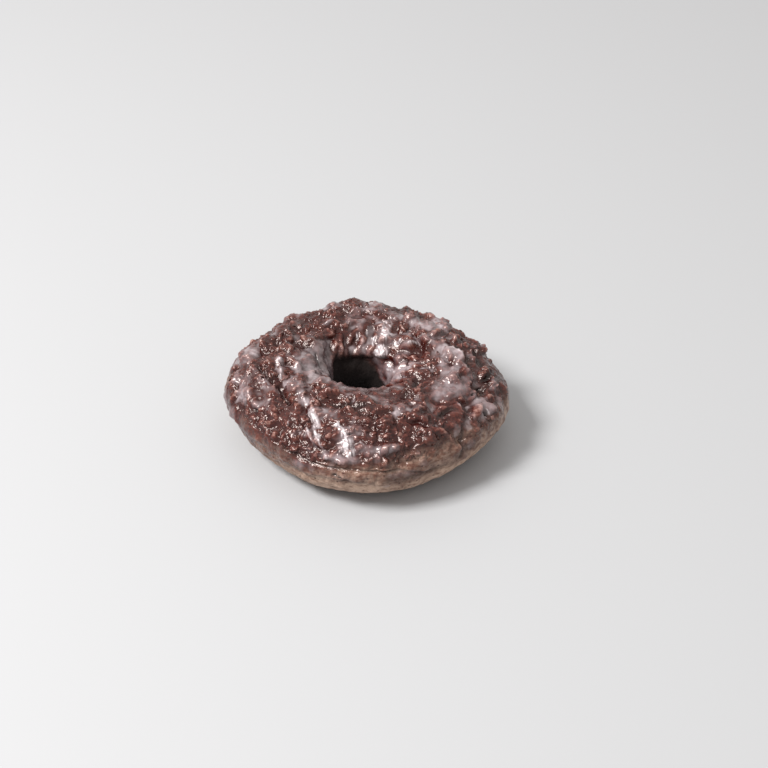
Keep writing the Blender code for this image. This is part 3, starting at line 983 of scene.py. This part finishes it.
@dataclass
class LooseCrumbs:
    """Crumbs that cling to the gritty patches of the crust, scattered by Geometry Nodes."""

    crust: bpy.types.Object
    kind: CrumbKind
    finish: bpy.types.Material
    sink: float = 0.55
    apart: float = 0.8
    keenness: float = 1.6
    proportions: Span = (0.65, 1.15)
    roughness: float = 0.62 * MM
    rough_size: float = 0.9 * MM

    def _tree(self) -> bpy.types.GeometryNodeTree:
        """Builds the scatter, with named inputs for its sizes.

        Returns:
            The node group.
        """
        group = bpy.data.node_groups.new("scatter_" + self.kind.value[0], "GeometryNodeTree")
        group.interface.new_socket("Crust", in_out="INPUT", socket_type="NodeSocketGeometry")
        for name in ("Smallest", "Largest", "Per Square Metre"):
            group.interface.new_socket(name, in_out="INPUT", socket_type="NodeSocketFloat")
        group.interface.new_socket("Seed", in_out="INPUT", socket_type="NodeSocketInt")
        group.interface.new_socket("Finish", in_out="INPUT", socket_type="NodeSocketMaterial")
        group.interface.new_socket("Crumbs", in_out="OUTPUT", socket_type="NodeSocketGeometry")
        tree = Tree(group)
        given = group.nodes.new("NodeGroupInput").outputs
        grit = tree.add("GeometryNodeInputNamedAttribute", {"Name": "grit"}, "Attribute", data_type="FLOAT")
        keen = tree.add("ShaderNodeMath", (grit, self.keenness), operation="POWER")
        apart = tree.add("ShaderNodeMath", (given["Smallest"], self.apart), operation="MULTIPLY")
        scatter = group.nodes.new("GeometryNodeDistributePointsOnFaces")
        scatter.distribute_method = "POISSON"
        tree.fill(scatter, {
            "Mesh": given["Crust"],
            "Distance Min": apart,
            "Density Max": given["Per Square Metre"],
            "Density Factor": keen,
            "Seed": given["Seed"],
        })
        depth = tree.add("ShaderNodeMath", (given["Smallest"], -self.sink), operation="MULTIPLY")
        sunk = tree.add("ShaderNodeVectorMath", {0: scatter.outputs["Normal"], "Scale": depth}, operation="SCALE")
        points = tree.add("GeometryNodeSetPosition", {"Geometry": scatter.outputs["Points"], "Offset": sunk})
        ball = tree.add("GeometryNodeMeshIcoSphere", {"Radius": 0.5, "Subdivisions": 1})
        seed = {"Seed": given["Seed"]}
        least, most = ((limit,) * 3 for limit in self.proportions)
        turn, shape = (
            tree.add("FunctionNodeRandomValue", {0: low, 1: high, **seed}, 0, data_type="FLOAT_VECTOR")
            for low, high in (((0.0,) * 3, (math.tau,) * 3), (least, most))
        )
        size, tone = (
            tree.add("FunctionNodeRandomValue", {2: low, 3: high, **seed}, 1, data_type="FLOAT")
            for low, high in ((given["Smallest"], given["Largest"]), (0.0, 1.0))
        )
        scale = tree.add("ShaderNodeVectorMath", {0: shape, "Scale": size}, operation="SCALE")
        placed = {"Points": points, "Instance": ball, "Rotation": turn, "Scale": scale}
        crumbs = tree.add("GeometryNodeInstanceOnPoints", placed)
        toned = {"Geometry": crumbs, "Name": "tone", "Value": tone}
        crumbs = tree.add("GeometryNodeStoreNamedAttribute", toned, data_type="FLOAT", domain="INSTANCE")
        crumbs = tree.add("GeometryNodeRealizeInstances", {"Geometry": crumbs})
        noise = tree.add("ShaderNodeTexNoise", {"Scale": 1 / self.rough_size, "Detail": 1.0}, "Color")
        away = tree.add("ShaderNodeVectorMath", (noise, (0.5, 0.5, 0.5)), operation="SUBTRACT")
        away = tree.add("ShaderNodeVectorMath", {0: away, "Scale": 4 * self.roughness}, operation="SCALE")
        crumbs = tree.add("GeometryNodeSetPosition", {"Geometry": crumbs, "Offset": away})
        crumbs = tree.add("GeometryNodeSetShadeSmooth", {"Geometry": crumbs})
        crumbs = tree.add("GeometryNodeSetMaterial", {"Geometry": crumbs, "Material": given["Finish"]})
        tree.fill(group.nodes.new("NodeGroupOutput"), {"Crumbs": crumbs})
        return group

    def build(self) -> bpy.types.Object:
        """Scatters the crumbs and turns them into a plain mesh.

        Returns:
            The crumbs' object.
        """
        name, smallest, largest, per_square_mm, seed = self.kind.value
        crumbs = bpy.data.objects.new(name, self.crust.data)
        bpy.context.scene.collection.objects.link(crumbs)
        modifier = crumbs.modifiers.new("scatter", "NODES")
        modifier.node_group = self._tree()
        settings = {"Smallest": smallest, "Largest": largest, "Per Square Metre": per_square_mm / MM**2,
                    "Seed": seed, "Finish": self.finish}
        for socket in modifier.node_group.interface.items_tree:
            if socket.name in settings:
                modifier[socket.identifier] = settings[socket.name]
        graph = bpy.context.evaluated_depsgraph_get()
        crumbs.data = bpy.data.meshes.new_from_object(crumbs.evaluated_get(graph))
        crumbs.modifiers.remove(modifier)
        return crumbs


@dataclass
class Studio:
    """A pale floor, soft light and a camera at the photograph's angle and framing."""

    distance: float = 0.600
    elevation: float = 36.6
    roll: float = 1.0
    pixels_per_metre: float = 3130.0
    image_side: int = 768
    aim_pixel: tuple[float, float] = (367.0, 393.0)
    aim: Vector = field(default_factory=lambda: Vector((0.0, 0.0, 12.5 * MM)))
    sensor: float = 36.0
    key_from: Vector = field(default_factory=lambda: Vector((-0.60, -0.19, 0.77)))
    key_distance: float = 1.2
    key_size: float = 0.4
    key_power: float = 26.0
    window: Vector = field(default_factory=lambda: Vector((-0.30, 0.35, 0.88)))
    window_light: float = 1.07
    room_light: float = 0.84
    window_edge: float = -0.1
    lamp_colour: tuple[float, float, float] = (1.0, 0.965, 0.935)
    room_colour: tuple[float, float, float, float] = (1.0, 0.955, 0.92, 1.0)
    floor_size: float = 6.0
    floor_colour: tuple[float, float, float, float] = (0.330, 0.342, 0.357, 1.0)
    floor_roughness: float = 0.6

    def floor(self) -> None:
        """Lays the floor."""
        bpy.ops.mesh.primitive_plane_add(size=self.floor_size)
        floor = bpy.context.object
        floor.name = "floor"
        material, tree, shader = new_finish("pale_matt_board")
        tree.fill(shader, {"Base Color": self.floor_colour, "Roughness": self.floor_roughness})
        floor.data.materials.append(material)

    def lights(self) -> None:
        """Hangs the key light and fills the room with soft light."""
        lamp = bpy.data.lights.new("key", "AREA")
        lamp.size = self.key_size
        lamp.energy = self.key_power
        lamp.color = self.lamp_colour
        key = bpy.data.objects.new("key", lamp)
        bpy.context.scene.collection.objects.link(key)
        towards = self.key_from.normalized()
        key.location = towards * self.key_distance
        key.rotation_euler = (-towards).to_track_quat("-Z", "Y").to_euler()
        world = bpy.data.worlds.new("room")
        world.use_nodes = True
        tree = Tree(world.node_tree)
        seen = tree.add("ShaderNodeTexCoord", {}, "Generated")
        facing = tree.add("ShaderNodeVectorMath", (seen, self.window.normalized()), "Value",
                          operation="DOT_PRODUCT")
        light = tree.add("ShaderNodeMapRange", (facing, self.window_edge, 1.0, self.room_light, self.window_light))
        tree.fill(world.node_tree.nodes["Background"], {"Color": self.room_colour, "Strength": light})
        bpy.context.scene.world = world

    def camera(self) -> None:
        """Places the camera so that the aim point falls on its pixel."""
        focal_pixels = self.pixels_per_metre * self.distance
        lens = bpy.data.cameras.new("camera")
        lens.sensor_width = self.sensor
        lens.lens = self.sensor * focal_pixels / self.image_side
        camera = bpy.data.objects.new("camera", lens)
        bpy.context.scene.collection.objects.link(camera)
        tilt = math.radians(self.elevation)
        forward = Vector((0.0, math.cos(tilt), -math.sin(tilt)))
        off_x, off_y = (at - self.image_side / 2 for at in self.aim_pixel)
        turn = Matrix.Rotation(math.atan(off_x / focal_pixels), 3, "Y")
        turn = turn @ Matrix.Rotation(math.atan(off_y / focal_pixels), 3, "X")
        turn = turn @ Matrix.Rotation(math.radians(self.roll), 3, "Z")
        camera.location = self.aim - forward * self.distance
        camera.rotation_euler = (forward.to_track_quat("-Z", "Y").to_matrix() @ turn).to_euler()
        bpy.context.scene.camera = camera

    def build(self) -> None:
        """Sets up the whole studio."""
        self.floor()
        self.lights()
        self.camera()
        bpy.context.scene.view_settings.view_transform = "Standard"


def main() -> None:
    """Builds the doughnut's pieces in order and reports each one."""
    logging.basicConfig(level=logging.INFO, format="%(name)s: %(message)s")
    Studio().build()
    form = DoughForm()
    log.info("read the solid as %d by %d points", form.ring_rows, form.tube_rows)
    crust = GlazedCrust(form).build()
    crust.data.materials.append(GlazedCocoaCrust().build())
    crumb_finish = WetCrumb().build()
    pieces = [crust] + [LooseCrumbs(crust, kind, crumb_finish).build() for kind in CrumbKind]
    for piece in pieces:
        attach(piece, "root")
        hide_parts(NODE)
        log.info("%s: %d faces", piece.name, len(piece.data.polygons))


if __name__ == "__main__":
    main()
